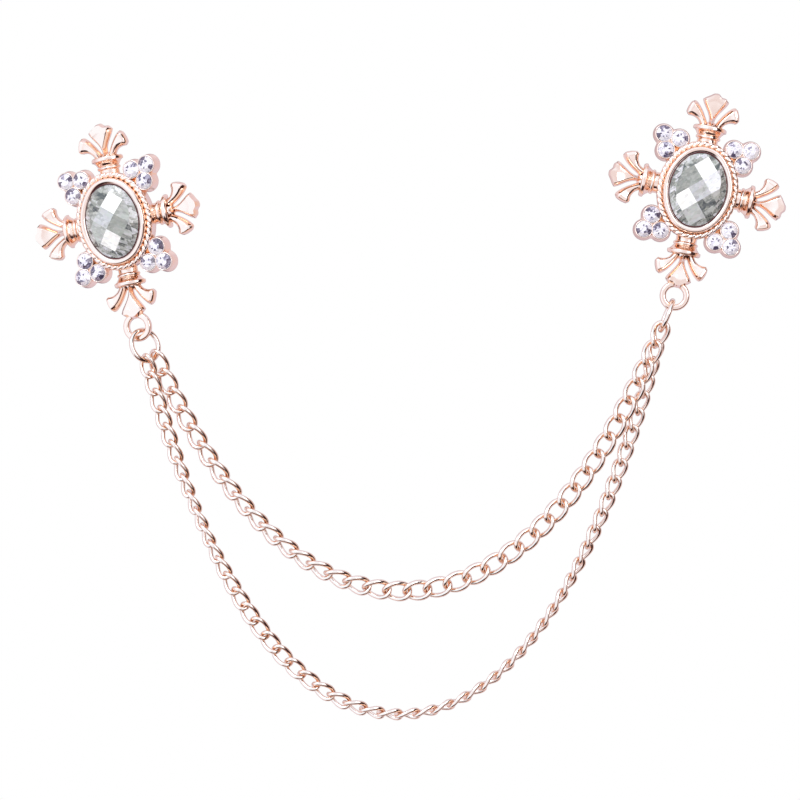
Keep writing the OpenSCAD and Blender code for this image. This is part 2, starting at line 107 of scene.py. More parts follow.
class Shell:
    # collects grids of points, then makes one closed, outward mesh of them
    def __init__(self):
        self.points, self.quads, self.count = [], [], 0

    def add(self, grid, wrapRows):
        # grid: (..., rows, cols, 3); leading axes are copies. The sum of corner . (side x side) over the
        # faces is six times the volume, and where it is negative the faces are turned to point outwards
        rows, cols = grid.shape[-3:-1]
        copies = grid.reshape(-1, rows * cols, 3)
        faces = gridFaces(rows, cols, wrapRows)
        a, b, c, d = (copies[:, faces[:, k]] for k in range(4))
        volume = (a * (np.cross(b - a, c - a) + np.cross(c - a, d - a))).sum((1, 2))
        turned = np.where(volume[:, None, None] < 0, faces[None, :, ::-1], faces[None])
        step = np.arange(len(copies))[:, None, None] * rows * cols + self.count
        self.points.append(copies.reshape(-1, 3))
        self.quads.append((turned + step).reshape(-1, 4))
        self.count += copies.shape[0] * rows * cols

    def build(self, name, side):
        # side: the brooch that the piece lies in, or None for a piece that hangs in its place already
        pts = np.concatenate(self.points)
        if side is not None:
            pts = hung(pts, side)
        quads = np.concatenate(self.quads)
        mesh = bpy.data.meshes.new(name)
        mesh.vertices.add(len(pts))
        mesh.vertices.foreach_set("co", (pts * mm).astype(np.float32).ravel())
        mesh.loops.add(quads.size)
        mesh.loops.foreach_set("vertex_index", quads.ravel().astype(np.int32))
        mesh.polygons.add(len(quads))
        mesh.polygons.foreach_set("loop_start", np.arange(0, quads.size, 4, dtype=np.int32))
        mesh.update(calc_edges=True)
        bm = bmesh.new()
        bm.from_mesh(mesh)
        bmesh.ops.remove_doubles(bm, verts=bm.verts, dist=joining["mergeWithin"])
        bm.to_mesh(mesh)
        bm.free()
        mesh.polygons.foreach_set("use_smooth", np.full(len(mesh.polygons), True))
        mesh.set_sharp_from_angle(angle=np.radians(joining["creaseFrom"]))
        mesh.update()
        return finished(name, mesh)


def finished(name, mesh):
    piece = bpy.data.objects.new(name, mesh)
    scene.collection.objects.link(piece)
    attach(piece, "root")
    return piece


def softened(outline, steps=7):
    # each corner (x, y, radius) of a closed outline becomes a parabola that starts and ends one radius
    # from it along its two sides, or just short of half a side: (1-s)^2 a + 2 s (1-s) corner + s^2 b
    c = np.array(outline, float)
    p, r = c[:, :2], c[:, 2:]
    before, after = np.roll(p, 1, 0) - p, np.roll(p, -1, 0) - p
    lenB = np.linalg.norm(before, axis=1, keepdims=True)
    lenA = np.linalg.norm(after, axis=1, keepdims=True)
    a = p + before / lenB * np.minimum(r, 0.49 * lenB)
    b = p + after / lenA * np.minimum(r, 0.49 * lenA)
    s = np.linspace(0, 1, steps)[:, None, None]
    return ((1 - s) ** 2 * a + 2 * s * (1 - s) * p + s ** 2 * b).transpose(1, 0, 2).reshape(-1, 2)


def spun(profile, count):
    # profile (radius, height) carried round the w axis
    a = np.linspace(0, 2 * np.pi, count, endpoint=False)
    r, h = profile[:, None, 0], profile[:, None, 1]
    return np.stack([r * np.cos(a), r * np.sin(a), h + 0 * a], -1)


def tube(path, radius, facing, count):
    # circles round a closed path (..., n, 3); facing gives each point's first direction
    along = np.roll(path, -1, -2) - np.roll(path, 1, -2)
    along /= np.linalg.norm(along, axis=-1, keepdims=True)
    e = facing - along * (facing * along).sum(-1, keepdims=True)
    e /= np.linalg.norm(e, axis=-1, keepdims=True)
    f = np.cross(along, e)
    a = np.linspace(0, 2 * np.pi, count, endpoint=False)[:, None]
    return path[..., None, :] + radius * (np.cos(a) * e[..., None, :] + np.sin(a) * f[..., None, :])


# The oval: four arcs that share their tangents
arcY = halfH - stone["endRadius"]
sideR = (halfW ** 2 + arcY ** 2 - stone["endRadius"] ** 2) / (2 * (halfW - stone["endRadius"]))
sideX = sideR - halfW
split = np.arctan2(arcY, sideX)


def ovalAngles(t, count, shift=0.0):
    # normal directions at even steps along the oval that is offset outwards by t
    s, e = 2 * split * (sideR + t), (np.pi - 2 * split) * (stone["endRadius"] + t)
    knots = np.array([0, s, s + e, 2 * s + e, 2 * s + 2 * e])
    turns = np.array([-split, split, np.pi - split, np.pi + split, 2 * np.pi - split])
    return np.interp((np.arange(count) + shift) / count * knots[-1], knots, turns)


def ovalAt(angle, t):
    # centre of the arc that has this normal, plus its radius and t along the normal
    onSide = np.abs(np.sin(angle)) <= np.sin(split)
    cx = np.where(onSide, -np.sign(np.cos(angle)) * sideX, 0)
    cy = np.where(onSide, 0, np.sign(np.sin(angle)) * arcY)
    r = np.where(onSide, sideR, stone["endRadius"]) + t
    return cx + r * np.cos(angle), cy + r * np.sin(angle)


# Bezel: floor, plain rim, groove and bed
bezel = {"count": 260, "rimHeight": crownBase + setting["gap"] + setting["lipRise"] + setting["lipThick"]}


def bezelGrid():
    # a closed profile of (offset, height) carried round the oval
    lip, gap, rim, bed = setting["lip"], setting["gap"], setting["rim"], setting["bedHeight"]
    top = bezel["rimHeight"]
    profile = softened([
        (gap, 0.0, 0.0), (wallOut, 0.0, 0.12), (wallOut + 0.05, 0.9, 0.3), (wallOut, bed - 0.25, 0.2),
        (wallOut - 0.2, bed, 0.15), (rim + 0.32, bed - 0.1, 0.1), (rim + 0.12, bed - 0.12, 0.1),
        (rim + 0.02, bed + 0.25, 0.12), (rim - 0.02, top - 0.42, 0.25), (rim - 0.3, top - 0.03, 0.28),
        (0.3, top, 0.2), (-0.02, top - 0.16, 0.14), (-lip, top - 0.4, 0.08), (-lip, top - 0.5, 0.04),
        (gap, crownBase, 0.05), (gap, setting["floor"], 0.0)])
    angle = ovalAngles(0.5, bezel["count"])
    x, y = ovalAt(angle[None], profile[:, :1])
    return np.stack([x, y, profile[:, 1:] + 0 * x], -1)


def floorGrid():
    # the floor plate: rings of the oval shrunk to its middle, over and under
    angle = ovalAngles(0.5, bezel["count"])
    x, y = ovalAt(angle, 1.0)
    k = np.array([0, 1, 1, 0.0])[:, None]
    h = np.array([setting["floor"], setting["floor"], 0.02, 0.02])[:, None]
    return np.stack([k * x, k * y, h + 0 * x], -1)


seam = {"wire": 0.11, "inset": 0.02, "down": 0.35, "count": 200, "round": 8}


def seamGrid():
    # painted shadow: the dark line where the rim meets the stone, a thin wire along the oval
    angle = ovalAngles(0, seam["count"])
    x, y = ovalAt(angle, -setting["lip"] - seam["inset"])
    path = np.stack([x, y, np.full(len(x), bezel["rimHeight"] - seam["down"])], -1)
    return tube(path, seam["wire"], np.broadcast_to(np.array([0, 0, 1.0]), path.shape), seam["round"])


# Rope border
rope = {"strands": 42, "radius": 0.62, "depth": 0.5, "fullness": 0.45, "slices": 16, "round": 22,
        "rise": 0.06, "out": 0.03}


def ropeGrid():
    # a two-strand rope: radius falls by depth between the strands, and the strands turn half a turn a lobe
    mid = setting["rim"] + setting["bed"] / 2 + rope["out"]
    count = rope["strands"] * rope["slices"]
    angle = ovalAngles(mid, count)
    x, y = ovalAt(angle, mid)
    a = np.linspace(0, 2 * np.pi, rope["round"], endpoint=False)[None]
    lay = np.pi * np.arange(count)[:, None] / rope["slices"]
    r = rope["radius"] * (1 - rope["depth"] * (1 - np.abs(np.cos(a - lay)) ** rope["fullness"]))
    out, up = r * np.cos(a), r * np.sin(a)
    return np.stack([x[:, None] + out * np.cos(angle)[:, None], y[:, None] + out * np.sin(angle)[:, None],
                     setting["bedHeight"] + rope["rise"] + up], -1)


# Arms: a round vase with a thick lip, which is its band, and three ribbon petals
# sink: how deep the vase's middle line lies under its back, and sinkShare: at most this share of a radius.
# backs: heights of the flat back, and of the middle of its two ends
arm = {"length": 10.05, "neck": 4.1, "band": 6.9, "bandAt": 2.9, "sink": 0.5, "sinkShare": 0.8,
       "backs": (0.02, 0.05), "round": 58, "chord": 14}


def vaseGrid():
    # a turned profile (radius, place along the arm) lying along v, cut flat at the back: neck, one ring,
    # a flare, the thick lip and the hollow from which the petals come
    n, b, at = arm["neck"] / 2, arm["band"] / 2, arm["bandAt"]
    profile = softened([
        (0, -0.9, 0), (n * 1.08, -0.9, 0), (n * 1.07, 0.0, 0.2), (n * 1.06, 0.45, 0.3), (n * 1.08, 0.74, 0.1),
        (n * 1.2, 0.80, 0.08), (n * 1.27, 1.08, 0.2), (n * 1.2, 1.38, 0.1), (n * 1.12, 1.46, 0.06),
        (n * 1.2, 1.56, 0.08), (b - 0.68, 2.1, 0.3), (b - 0.27, at - 0.44, 0.06), (b - 0.02, at - 0.4, 0.08),
        (b, at - 0.05, 0.25), (b - 0.04, at + 0.25, 0.2), (b - 0.35, at + 0.48, 0.15),
        (b - 0.85, at + 0.44, 0.12), (b - 1.0, at + 0.15, 0.3), (n - 0.3, at + 0.15, 0.3),
        (n - 0.5, at + 0.8, 0.3), (n - 1.1, at + 1.4, 0.4), (0, at + 1.5, 0)], 6)
    # each ring is the arc above the cut, closed by its chord; a small ring is cut less deep
    r, v = profile[:, :1], profile[:, 1:]
    cut = np.minimum(arm["sink"], arm["sinkShare"] * r)
    low = np.arcsin(cut / np.maximum(r, 1e-9))
    a = low + (np.pi - 2 * low) * np.linspace(0, 1, arm["round"])
    chord = np.linspace(-1, 1, arm["chord"] + 2)[1:-1]
    u = np.concatenate([r * np.cos(a), r * np.cos(low) * chord], 1)
    w = np.concatenate([r * np.sin(a) - cut, 0 * r * chord], 1) + np.where(r > 0, *arm["backs"])
    return np.stack([u, v + 0 * u, w], -1)


# rise in degrees. narrow: the smallest share of the half width that an edge leaves to the face.
# blur: the stretch over which a table's corners are rounded
petals = {"rise": 7.0, "lift": 0.1, "thick": 1.5, "tipDraft": 0.3, "draftFrom": 0.35, "tipRoll": 0.22,
          "rollFrom": 0.5, "rollTo": 0.85, "bevel": 0.16, "bevelFrom": 0.84, "narrow": 0.06, "blur": 0.05,
          "rows": 32, "face": 25}
# how an edge falls from the face to the foot: distance in from the foot, and share of the height
plainEdge = ((0.72, 1), (0.56, 0.93), (0.10, 0.42), (0, 0.04))
wallEdge = ((0.74, 1), (0.62, 0.89), (0.10, 0.42), (0, 0.04))
foldedEdge = ((0.84, 1), (0.46, 0.91), (0.12, 0.72), (0, 0.04))
# from, to: degrees at root and tip; a straight petal turns by a hair, so that its bend has a radius.
# form: half width along the petal, as shares. tip, outline: length past the corners, and its shares across
# the petal. edges: to the left and to the right of the petal
middlePetal = {"root": (0.0, arm["bandAt"] + 0.8), "from": -0.1, "to": 0.1, "length": 4.85, "width": 5.35,
               "form": ((0, 0.14, 0.32, 0.5, 0.65, 0.86, 1), (0.24, 0.2, 0.27, 0.43, 0.62, 0.88, 1)),
               "tip": 1.6, "outline": ((-1, -0.85, -0.5, -0.22, 0, 0.17, 0.32, 0.44, 0.62, 0.8, 0.93, 1),
                                       (0, 0.26, 0.62, 0.96, 1.02, 0.98, 0.72, 0.6, 0.6, 0.5, 0.3, 0.02)),
               "edges": (plainEdge, wallEdge)}
sidePetal = {"root": (0.36 * arm["neck"], arm["bandAt"] + 0.7), "from": 22.0, "to": 74.0, "length": 4.5,
             "width": 3.1, "form": ((0, 0.3, 0.55, 0.8, 0.95, 1), (0.48, 0.52, 0.68, 0.92, 1.06, 1.06)),
             "tip": 0.55, "outline": ((-1, -0.94, -0.8, -0.4, 0.1, 0.7, 0.92, 1),
                                      (-0.9, 0, 0.45, 0.75, 0.9, 0.75, 0.1, -0.8)),
             "edges": (plainEdge, foldedEdge)}


def smoothed(x, table):
    # the table's value at x, averaged over a short stretch to round its corners
    steps = np.linspace(-petals["blur"], petals["blur"], 7)
    return np.interp(x[..., None] + steps, *table).mean(-1)


def ramped(x, start, end):
    # 0 up to start, then evenly to 1 at end
    return np.clip((x - start) / (end - start), 0, 1)


def petalGrid(p):
    # along: s from root to tip, closed at both ends. around: up one edge, over the face, down the other
    # edge and back underneath. An edge keeps its distances from the foot until the petal is too narrow.
    # The middle line is an arc. The outline adds its length to it by s^3, and the draft takes some by s^8
    s = np.concatenate([[0.0], np.linspace(0, 1, petals["rows"]), [1.0]])[:, None]
    closed = np.concatenate([[0.0], np.ones(petals["rows"]), [0.0]])[:, None]
    half = p["width"] / 2 * smoothed(s, p["form"])
    left, right = (np.array(edge) for edge in p["edges"])
    least = petals["narrow"] * half
    leftSteps, rightSteps = -np.maximum(half - left[:, 0], least), np.maximum(half - right[:, 0], least)
    face = np.linspace(0, 1, petals["face"] + 2)[1:-1]
    over = np.concatenate([leftSteps[:, ::-1], leftSteps[:, :1] * (1 - face) + rightSteps[:, :1] * face,
                           rightSteps], 1)
    # on the closing rows the feet meet their neighbours, so no corner is left loose
    over[[0, -1], 0], over[[0, -1], -1] = over[[0, -1], 1], over[[0, -1], -2]
    under = over[:, -2:0:-1]
    across = np.concatenate([over, under], 1)
    z = np.concatenate([left[::-1, 1], 0 * face + 1, right[:, 1], 0 * under[0]])[None]
    z = z * closed + 0.5 * (1 - closed)
    extra = (p["tip"] * smoothed(across / half, p["outline"]) * s ** 3
             - petals["tipDraft"] * ramped(z, petals["draftFrom"], 1) * s ** 8)
    turn = np.radians(p["from"] + (p["to"] - p["from"]) * s)
    bendR = p["length"] / np.radians(p["to"] - p["from"])
    first = np.radians(p["from"])
    u = p["root"][0] + bendR * (np.cos(first) - np.cos(turn)) + across * np.cos(turn) + extra * np.sin(turn)
    v = p["root"][1] + bendR * (np.sin(turn) - np.sin(first)) - across * np.sin(turn) + extra * np.cos(turn)
    crest = petals["tipRoll"] * ramped(s, petals["rollFrom"], petals["rollTo"]) ** 2
    bevel = petals["bevel"] * ramped(s, petals["bevelFrom"], 1) ** 1.2
    w = z * (petals["thick"] + crest - bevel)
    rise = np.radians(petals["rise"])
    v0 = v - p["root"][1]
    return np.stack([u, p["root"][1] + v0 * np.cos(rise) - w * np.sin(rise),
                     petals["lift"] + v0 * np.sin(rise) + w * np.cos(rise)], -1)


def mirrored(grid):
    return grid * np.array([-1.0, 1.0, 1.0])


def armGrids():
    side = petalGrid(sidePetal)
    return [vaseGrid(), petalGrid(middlePetal), side, mirrored(side)]


# Stone cups at the four corners
cups = {"seat": 1.6, "wall": 0.25, "height": 2.5, "bridge": 0.12, "spread": 3.65, "shift": 0.8,
        "land": 0.08, "sink": 1.1, "round": 56}
# blend: higher comes nearer to three plain circles. least: the outline's smallest reach from its middle
pads = {"foot": 0.34, "blend": 9, "least": 1.2, "round": 110}
# reach: place of the two inner corners, as a share of the cups' place. edge: height of the bevelled edge
webs = {"height": 1.5, "reach": 0.72, "edge": 0.12}


def cornerCups():
    # two cups by the border, at even offsets along it, and the third outside them, a pitch from both
    cupT = wallOut + cups["seat"] + cups["land"]
    sideLen = 2 * split * (sideR + cupT)
    endLen = (np.pi - 2 * split) * (stone["endRadius"] + cupT)
    d = sideLen - cups["shift"] + np.array([-0.5, 0.5]) * cups["spread"]
    angle = np.interp(d, [0, sideLen, sideLen + endLen], [-split, split, np.pi - split])
    x, y = ovalAt(angle, cupT)
    a, b = np.array([x[0], y[0]]), np.array([x[1], y[1]])
    ab = b - a
    out = np.array([ab[1], -ab[0]]) / np.linalg.norm(ab)
    pitch = 2 * cups["seat"] + cups["bridge"]
    third = (a + b) / 2 + out * np.sqrt(pitch ** 2 - ab @ ab / 4)
    return np.array([a, b, third])


mirrors = np.array([(1, 1), (-1, 1), (-1, -1), (1, -1)], float)
cupSpots = cornerCups() * mirrors[:, None]
smallAt = cupSpots.reshape(-1, 2)


def cupGrids():
    # each cup is a turned wall with a rounded, slightly flared rim and a seat
    r, h = cups["seat"], cups["height"]
    out = r + cups["wall"]
    profile = softened([(0, 0.05, 0), (out - 0.02, 0.05, 0.1), (out + 0.03, h - 0.25, 0.25),
                        (out - 0.03, h + 0.02, 0.12), (r + 0.02, h + 0.02, 0.1),
                        (r - 0.03, h - 0.3, 0.1), (r - 0.25, h - 0.75, 0.1), (0, h - 0.8, 0)], 6)
    one = spun(profile, cups["round"])
    return one + np.pad(smallAt, ((0, 0), (0, 1)))[:, None, None]


def padGrids():
    # the cast pad under the three cups of a corner: its outline is the smooth union of three circles, at
    # (sum of reach^blend)^(1/blend) from the middle, and it widens by foot towards the back
    middle = cupSpots.mean(1)
    a = np.linspace(0, 2 * np.pi, pads["round"], endpoint=False)
    ray = np.stack([np.cos(a), np.sin(a)], 1)
    h = cups["height"]
    rings = softened([(0.0, 0.0, 0.0), (pads["foot"], 0.0, 0.05), (pads["foot"], 0.25, 0.15),
                      (0.02, h - 0.5, 0.3), (-0.2, h - 0.34, 0.1), (-1.0, h - 0.36, 0.0)], 5)
    grids = []
    for c, m in zip(cupSpots, middle):
        to = (c - m) @ ray.T
        off = np.abs((c - m)[:, :1] * ray[:, 1] - (c - m)[:, 1:] * ray[:, 0])
        r = cups["seat"] + cups["wall"] + rings[:, 0][:, None, None]
        reach = np.where((to > 0) & (off < r), to + np.sqrt(np.maximum(r ** 2 - off ** 2, 0)), 0)
        outline = np.maximum((reach ** pads["blend"]).sum(1) ** (1 / pads["blend"]), pads["least"])
        outline[[0, -1]] = 0
        flat = m + outline[..., None] * ray
        level = np.broadcast_to(rings[:, 1][:, None, None], flat.shape[:2] + (1,))
        grids.append(np.concatenate([flat, level], -1))
    return np.stack(grids)


def webGrids():
    # a plate between the cups of one corner and the border: its outline shrunk to its middle, over and under
    a, b, c = (cupSpots[:, k] for k in range(3))
    ring = np.stack([a, c, b, b * webs["reach"], a * webs["reach"]], 1)
    middle = ring.mean(1, keepdims=True)
    k = np.array([0, 0.93, 1, 1, 0.0])[None, :, None, None]
    h = np.array([webs["height"], webs["height"], webs["height"] - webs["edge"], 0.01, 0.01])
    flat = middle[:, None] + (ring[:, None] - middle[:, None]) * k
    return np.concatenate([flat, np.broadcast_to(h[None, :, None, None], flat.shape[:3] + (1,))], -1)


# Eye and jump rings
eye = {"outer": 6.0, "hole": 3.5, "thick": 1.2, "lap": 1.3, "round": 110}
eyeV = halfH + wallOut + arm["length"] + eye["outer"] / 2 - eye["lap"]
jump = {"outer": 7.4, "wire": 1.0, "round": 120, "wireSides": 24}
ringR = (jump["outer"] - jump["wire"]) / 2


def eyeGrid():
    # a square section with rounded corners, carried round the hole
    i, o, h = eye["hole"] / 2, eye["outer"] / 2, eye["thick"]
    loop = softened([(i, 0, 0.3), (o, 0, 0.3), (o, h, 0.58), (i, h, 0.58)], 12)
    return spun(loop, eye["round"]) + np.array([0, -eyeV, 0])


def pull(side):
    # the way the chains pull the ring
    return turnY(np.array([0, 0, -1.0]), side["ring"][0])


def across(side):
    # the ring's other direction in its plane
    a = np.radians(side["ring"][1])
    return turnY(np.array([np.cos(a), np.sin(a), 0]), side["ring"][0])


def ringMiddle(side):
    # a ring's radius and its drop below the middle of the eye, the way the chains pull
    return hung(np.array([0, -eyeV, eye["thick"] / 2]), side) + pull(side) * (side["ring"][2] + ringR)


def ringPath(side):
    # a circle: cos a the way of the pull, and sin a across
    a = np.linspace(0, 2 * np.pi, jump["round"], endpoint=False)[:, None]
    return ringMiddle(side) + ringR * (np.cos(a) * pull(side) + np.sin(a) * across(side))


# Chains
# which: the chain's place in a side's hangs. swell: what plating and a round section add to the wire's
# radius. It fades out over the last taper links by the rings, where the two chains lie close.
# roll: degrees that the links turn round the chain, by the share of its length
upperChain = {"name": "upper_chain", "which": 0, "links": 37, "pitch": 4.12, "width": 4.1, "wire": 0.82,
              "swell": 0.07, "roll": ((0, 0.08, 0.2, 0.38, 0.48, 0.55, 0.92, 1),
                                      (12, 25, 48, 45, 12, 0, 0, 32))}
lowerChain = {"name": "lower_chain", "which": 1, "links": 54, "pitch": 3.6, "width": 3.5, "wire": 0.76,
              "swell": 0.05, "roll": ((0, 0.08, 0.15, 0.2, 0.3, 0.35, 0.46, 0.52, 0.7, 0.83, 1),
                                      (14, 30, 60, 60, 4, -4, 66, 76, 74, 34, 30))}
curb = {"twist": 86, "square": 2.4, "play": 0.25, "hookPlay": 0.25, "taper": 4, "round": 76, "wireSides": 14}


def chainEnd(side, hang):
    # where the chain's first link hangs: just inside the ring, at hang degrees from its lowest point
    a = np.radians(hang)
    return (ringMiddle(side) + (pull(side) * np.cos(a) + across(side) * np.sin(a)) * ringR
            - pull(side) * (jump["wire"] / 2 + curb["hookPlay"]))


def catenary(p, q, length, count):
    # a free chain: z = a cosh(x / a), with a from Newton's rule on sinh(x) / x = k
    span = np.hypot(*(q - p)[:2])
    rise = q[2] - p[2]
    k = np.sqrt(length ** 2 - rise ** 2) / span
    x = np.sqrt(6 * (k - 1))
    for _ in range(12):
        x -= (np.sinh(x) / x - k) * x * x / (x * np.cosh(x) - np.sinh(x))
    a = span / (2 * x)
    low = span / 2 - a * np.arctanh(rise / length)
    start = a * np.sinh(-low / a)
    t = low + a * np.arcsinh((length * np.arange(count + 1) / count + start) / a)
    z = a * (np.cosh((t - low) / a) - np.cosh(low / a))
    return np.stack([p[0] + (q[0] - p[0]) * t / span, p[1] + (q[1] - p[1]) * t / span, p[2] + z], -1)


def linkGrids(chain):
    # every link at once: a squared oval whose plane twists as it goes along the chain. s runs along it as
    # cos c to the power 2 / square, and t across it as sin c to that power
    p, q = (chainEnd(side, side["hangs"][chain["which"]]) for side in sides)
    hooks = catenary(p, q, chain["links"] * chain["pitch"], chain["links"])
    a = (chain["pitch"] + chain["wire"] + curb["play"]) / 2
    b = (chain["width"] - chain["wire"]) / 2
    middle = (hooks[1:] + hooks[:-1]) / 2
    along = hooks[1:] - hooks[:-1]
    along /= np.linalg.norm(along, axis=1, keepdims=True)
    up = np.cross(np.array([0, -1.0, 0]), along)
    up /= np.linalg.norm(up, axis=1, keepdims=True)
    front = np.cross(along, up)
    roll = np.interp((np.arange(chain["links"]) + 0.5) / chain["links"], *chain["roll"])
    c = np.linspace(0, 2 * np.pi, curb["round"], endpoint=False)
    s = a * np.sign(np.cos(c)) * np.abs(np.cos(c)) ** (2 / curb["square"])
    t = b * np.sign(np.sin(c)) * np.abs(np.sin(c)) ** (2 / curb["square"])
    turn = np.radians(roll[:, None] - curb["twist"] / 2 * s / a)[..., None]
    side = np.cos(turn) * up[:, None] + np.sin(turn) * front[:, None]
    facing = np.cos(turn) * front[:, None] - np.sin(turn) * up[:, None]
    path = middle[:, None] + s[:, None] * along[:, None] + t[:, None] * side
    number = np.arange(chain["links"])
    full = np.clip(np.minimum(number, number[::-1]) / curb["taper"], 0, 1)[:, None, None, None]
    return tube(path, chain["wire"] / 2 + chain["swell"] * full, facing, curb["wireSides"])


# Stones: every facet is a plane that cuts away what lies outside it
cutting = {"parallel": 1e-5, "outside": 1e-6, "onPlane": 3e-5}


def cutStone(normals, depths):
    # a corner is a point where three planes meet and that no other plane cuts off
    n = normals / np.linalg.norm(normals, axis=1, keepdims=True)
    triples = np.array(list(itertools.combinations(range(len(n)), 3)))
    m = n[triples]
    det = np.linalg.det(m)
    ok = np.abs(det) > cutting["parallel"]
    points = np.linalg.solve(m[ok], depths[triples[ok]][..., None])[..., 0]
    inside = (points @ n.T <= depths + cutting["outside"]).all(1)
    points = np.unique(np.round(points[inside], 5), axis=0)
    faces, owners = [], []
    for i in range(len(n)):
        on = np.where(np.abs(points @ n[i] - depths[i]) < cutting["onPlane"])[0]
        if len(on) < 3:
            continue
        flat = points[on] - points[on].mean(0)
        e = np.cross(n[i], [0.3, 0.5, 0.8])  # any direction in the facet
        e /= np.linalg.norm(e)
        order = np.argsort(np.arctan2(flat @ np.cross(n[i], e), flat @ e))
        faces.append(on[order].tolist())
        owners.append(i)
    return points, faces, np.array(owners)


shardShift = 37  # how far apart the facets' places in the inner pattern may be


def facetMesh(name, cuts, side):
    # joins cut stones into one flat-faced piece. Each facet keeps its painted reflection tone, and each
    # corner its place in the painted pattern behind the stone, which is turned and sized, and shifted facet
    # to facet
    points, faces, tones, places, count = [], [], [], [], 0
    for p, f, tone, middle, turn, size in cuts:
        tip = np.concatenate([np.array(face) for face in f])
        owner = np.repeat(np.arange(len(f)), [len(face) for face in f])
        flat = turned2(p[tip, :2] - middle, -turn) / size[owner, None]
        places.append(np.concatenate([flat, shardShift * tone[owner, 2:]], 1))
        points.append(p)
        faces += [[i + count for i in face] for face in f]
        tones.append(tone)
        count += len(p)
    mesh = bpy.data.meshes.new(name)
    mesh.from_pydata((hung(np.concatenate(points), side) * mm).tolist(), [], faces)
    for label, domain, values in (("facetPaintedTone", "FACE", tones), ("facetPlace", "CORNER", places)):
        layer = mesh.attributes.new(label, "FLOAT_VECTOR", domain)
        layer.data.foreach_set("vector", np.concatenate(values).astype(np.float32).ravel())
    return finished(name, mesh)


# facets on a turned square lattice. leans in degrees. near: how far past the stone a facet may be centred.
# pattern: turn of the inner pattern, and its size behind the middle facets and behind the others
checker = {"pitch": 3.35, "sag": 0.034, "near": 0.6, "rimFacets": 24, "rimLean": 52, "pavilionLean": 38,
           "patternTurn": 8, "patternSizes": (1.9, 1.2), "domeTones": (0.2, 0.6), "otherTones": (0.2, 0.7),
           "whiteFrom": 0.9, "darkTo": 0.35}
# share of the broken pattern of painted inner reflections in a facet: in a white one, a dark one,
# another middle one and the rest
brokenShare = {"white": 0.05, "dark": 0.6, "middle": 0.14, "rest": 0.7}


def leaningPlanes(angles, lean, radius, z):
    # planes with normals at the given angles, raised by lean degrees, through the points (radius, z)
    t = np.radians(lean)
    n = np.stack([np.cos(angles) * np.cos(t), np.sin(angles) * np.cos(t), np.full(len(angles), np.sin(t))], 1)
    return n, radius * np.cos(t) + z * np.sin(t) + 0 * angles


def centreStone(side):
    # crown: planes that touch a shallow dome at the points of a turned square lattice, and a ring of
    # steep ones along the oval. Under them the upright girdle and a ring of pavilion planes
    cut = side["cut"]
    i, j = (k.ravel() for k in np.meshgrid(np.arange(-3, 4), np.arange(-3, 4), indexing="ij"))
    spot = turned2(np.stack([i + cut["offset"][0], j + cut["offset"][1]], 1) * checker["pitch"], cut["turn"])
    past = checker["near"]
    near = (spot[:, 0] / (halfW + past)) ** 2 + (spot[:, 1] / (halfH + past)) ** 2 < 1
    spot = spot[near]
    k = checker["sag"]
    top = crownBase + stone["crown"]
    domeN = np.concatenate([2 * k * spot, np.ones((len(spot), 1))], 1)
    domeD = (top + k * (spot ** 2).sum(1)) / np.linalg.norm(domeN, axis=1)
    angle = ovalAngles(0, checker["rimFacets"], 0.5)
    x, y = ovalAt(angle, 0)
    levels = (crownBase, crownBase - stone["girdle"] / 2, crownBase - stone["girdle"])
    rims = []
    for z, lean in zip(levels, (checker["rimLean"], 0.0, -checker["pavilionLean"])):
        n, _ = leaningPlanes(angle, lean, 0, 0)
        rims.append((n, (n * np.stack([x, y, np.full(len(x), z)], 1)).sum(1)))
    base = setting["floor"] + setting["gap"]
    normals = np.concatenate([domeN] + [rim[0] for rim in rims] + [[[0, 0, -1.0]]])
    depths = np.concatenate([domeD] + [rim[1] for rim in rims] + [[-base]])
    points, faces, owners = cutStone(normals, depths)
    # facet tone: brightness of its painted reflection, share of the broken inner pattern of painted
    # reflections, and a shift of that pattern
    rng = np.random.default_rng(cut["seed"])
    given = np.array([cut["tones"].get(ij, -1.0) for ij in zip(i[near].tolist(), j[near].tolist())])
    others = len(normals) - len(given)
    bright = np.concatenate([np.where(given < 0, rng.uniform(*checker["domeTones"], len(given)), given),
                             rng.uniform(*checker["otherTones"], others)])
    known = np.concatenate([given >= 0, np.zeros(others, bool)])
    broken = np.where(bright > checker["whiteFrom"], brokenShare["white"],
                      np.where(bright < checker["darkTo"], brokenShare["dark"], brokenShare["middle"]))
    broken = np.where(known, broken, brokenShare["rest"])
    size = np.where(known, *checker["patternSizes"])
    tone = np.stack([bright, broken, rng.uniform(0, 1, len(normals))], 1)
    return points, faces, tone[owners], (0, 0), cut["turn"] + checker["patternTurn"], size[owners]


# facets, row by row: how many, the first one's angle in steps, the lean in degrees, and a point they pass
# through: share of the radius, and height over the girdle. The rays stand round the table.
# raysDark, othersDark: how often a facet takes a dark painted reflection. shadedTurn: where the stone's side
# of painted shade faces, give or take shadedSpread, and shadedHalf: half its breadth
brilliant = {
    "radius": 1.55, "table": 0.645, "facets": {
        "rays": (16, 0.5, 84, 0.58, 0.6), "kites": (8, 0, 50, 1, 0.03), "stars": (8, 0.5, 54, 0.84, 0.324),
        "girdle": (16, 0.5, 0, 1, 0), "pavilion": (8, 0, -45, 1, -0.12)},
    "raysDark": 0.38, "othersDark": 0.22, "darkTones": (0, 0.3), "paleTones": (0.8, 1), "tableTone": 0.9,
    "shadedTurn": 62, "shadedSpread": 80, "shadedHalf": 20, "shadedShare": (0.1, 0.7),
    "broken": 0.42, "patternSize": 0.42, "seedStep": 20}


